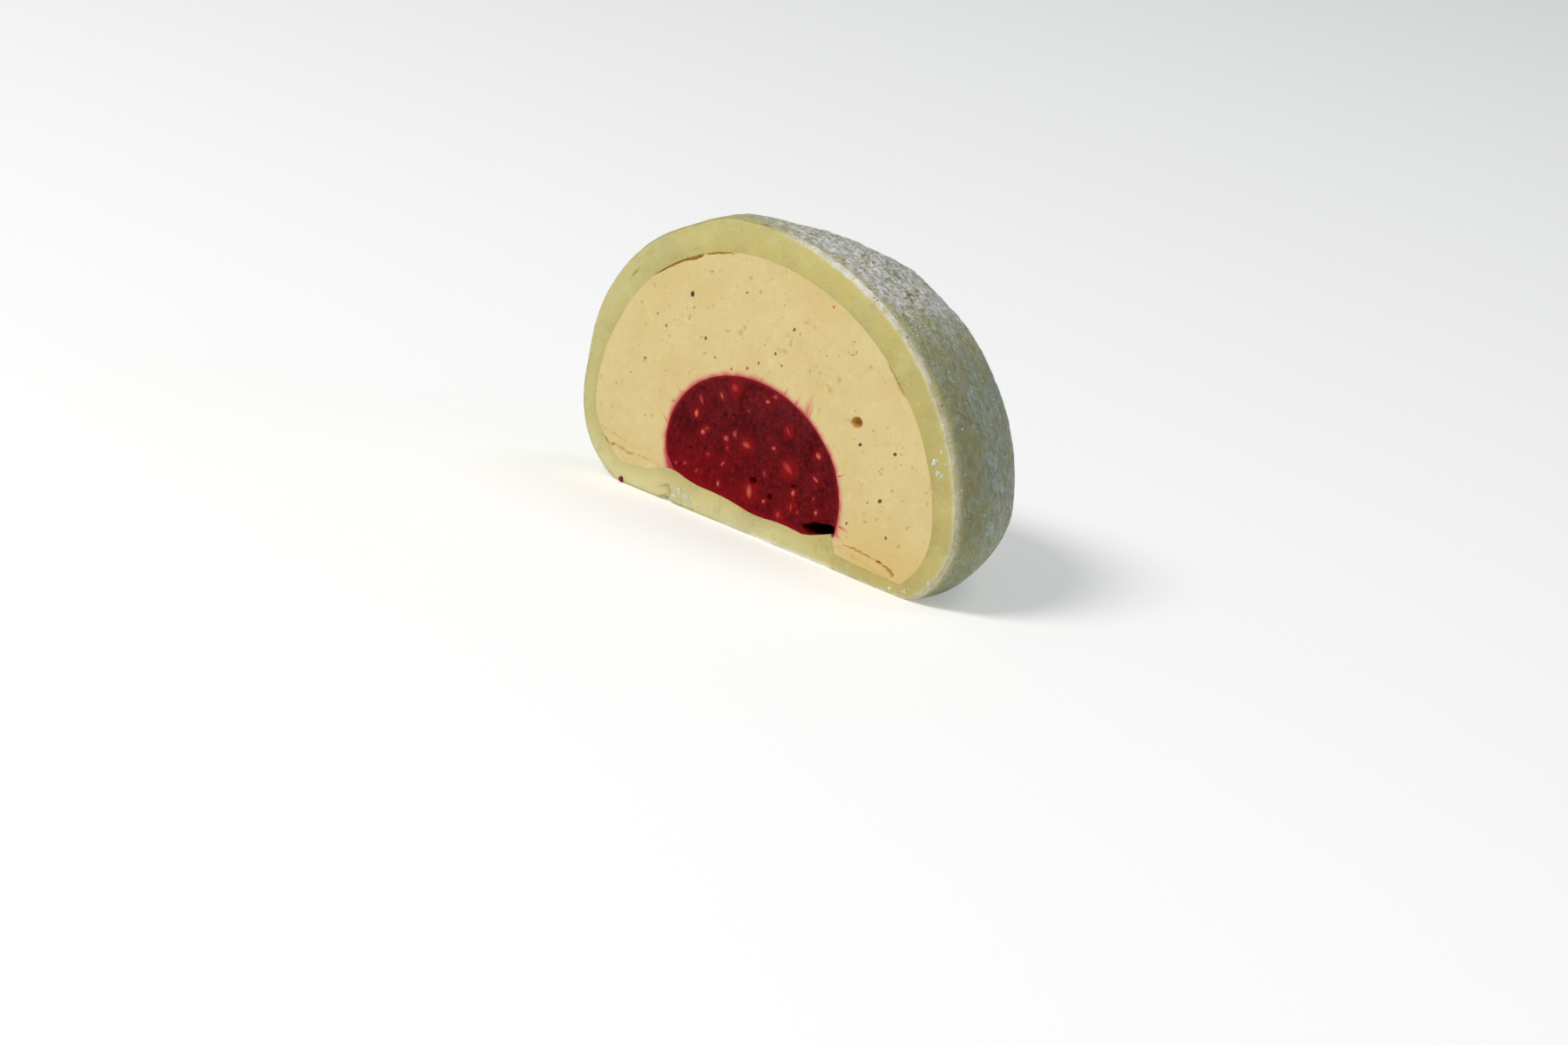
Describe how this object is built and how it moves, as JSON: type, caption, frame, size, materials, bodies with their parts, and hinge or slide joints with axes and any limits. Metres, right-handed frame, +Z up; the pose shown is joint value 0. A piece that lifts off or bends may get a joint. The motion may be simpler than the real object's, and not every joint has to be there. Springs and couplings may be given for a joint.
{
  "type": "filled mochi half",
  "caption": "Half of a filled rice-dough sweet, cut upright: pale green dough shell round a smooth cream and a dark red fruit dome, standing on its flat base.",
  "frame": {"origin": "middle of the bounding box's base, on the surface that the half stands on", "axes": "+Z up; the flat cut face looks along -Y; +X to the right when the cut face is seen from the front"},
  "size_m": [0.0598, 0.0298, 0.0366],
  "materials": {
    "dough": "soft pistachio dough, matt and translucent, dusted with starch outside",
    "cream": "smooth satin cream, as cut",
    "raspberry": "moist raspberry filling with seeds"
  },
  "bodies": {
    "root": {"mochi_skin": "dough", "pistachio_cream": "cream", "raspberry_core": "raspberry"}
  },
  "joints": []
}
